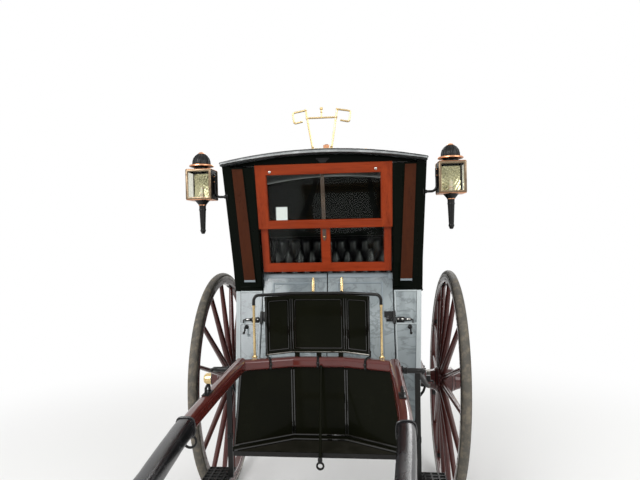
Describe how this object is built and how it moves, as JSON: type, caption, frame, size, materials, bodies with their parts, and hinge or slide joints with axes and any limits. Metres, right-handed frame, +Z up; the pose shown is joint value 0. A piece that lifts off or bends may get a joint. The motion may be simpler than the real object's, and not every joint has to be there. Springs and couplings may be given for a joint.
{
  "type": "hansom cab (two-wheeled horse-drawn carriage)",
  "caption": "Hansom cab with a glazed cab for passengers, folding knee doors, folded dash, level shafts on a trestle and a driver's seat high behind.",
  "frame": {"origin": "on the ground, at the middle of the plan", "axes": "+Z up, the shafts and the front face -Y, +X is the carriage's near side as seen from the front"},
  "size_m": [1.7682, 4.05, 2.359],
  "materials": {
    "black_lacquer": "gloss black coach paint",
    "black_panel": "gloss black paint with an olive tinge",
    "roof_leather": "black varnished roof leather",
    "slate_paint": "gloss dark paint, slate grey where it mirrors the sky",
    "mahogany": "varnished orange red mahogany",
    "maroon_paint": "gloss maroon coach paint",
    "tyre_rubber": "worn grey rubber",
    "brass": "polished brass",
    "black_iron": "black painted iron",
    "black_leather": "buttoned black leather",
    "sleeve_leather": "glossy black leather",
    "window_glass": "clear old glass",
    "lamp_glass": "clear bevelled glass",
    "stand_wood": "plain sawn wood"
  },
  "bodies": {
    "carriage": {"cab_side_left": "black_lacquer", "cab_side_right": "black_lacquer", "cab_back": "black_lacquer", "cab_floor": "black_panel", "roof": "roof_leather", "front_pillars": "black_lacquer", "sash_upper": "mahogany", "sash_lower": "mahogany", "window_glass": "window_glass", "quarter_panels": "slate_paint", "quarter_hinges": "black_iron", "seat_board": "black_panel", "seat_cushion": "black_leather", "seat_squab": "black_leather", "side_squabs": "black_leather", "dash": "black_panel", "dash_rail": "black_iron", "dash_rods": "brass", "front_panel": "black_panel", "footboard": "black_panel", "shafts": "maroon_paint", "shaft_sleeves": "sleeve_leather", "side_rails": "maroon_paint", "springs": "maroon_paint", "spring_irons": "black_iron", "step_irons": "black_iron", "lamps": "black_iron", "lamp_glass": "lamp_glass", "rein_guide": "brass", "perch_irons": "black_iron", "perch_boards": "black_lacquer", "perch_cushion": "black_leather", "shaft_stand": "stand_wood", "axle": "black_iron"},
    "wheel_left": {"tyre_left": "tyre_rubber", "wheel_left": "maroon_paint", "hub_cap_left": "brass"},
    "wheel_right": {"tyre_right": "tyre_rubber", "wheel_right": "maroon_paint", "hub_cap_right": "brass"},
    "door_left": {"door_left": "slate_paint", "door_hinges_left": "black_iron"},
    "door_right": {"door_right": "slate_paint", "door_hinges_right": "black_iron"},
    "hatch": {"hatch_lid": "roof_leather"}
  },
  "joints": [
    {"name": "wheel_left_spin", "type": "hinge", "parent": "carriage", "child": "wheel_left", "pos_m": [-0.728, 1.025, 0.70932], "axis": [-0.9989, -0.0174, -0.0436], "continuous": true},
    {"name": "wheel_right_spin", "type": "hinge", "parent": "carriage", "child": "wheel_right", "pos_m": [0.728, 1.025, 0.70932], "axis": [0.9989, -0.0174, -0.0436], "continuous": true},
    {"name": "door_left_hinge", "type": "hinge", "parent": "carriage", "child": "door_left", "pos_m": [-0.371, 0.56706, 1.35474], "axis": [0, -0.3256, -0.9455], "range_deg": [0, 90]},
    {"name": "door_right_hinge", "type": "hinge", "parent": "carriage", "child": "door_right", "pos_m": [0.371, 0.56706, 1.35474], "axis": [0, 0.3256, 0.9455], "range_deg": [0, 90]},
    {"name": "hatch_hinge", "type": "hinge", "parent": "carriage", "child": "hatch", "pos_m": [0, 1.007, 2.1233], "axis": [1, 0, 0], "range_deg": [0, 80]}
  ]
}
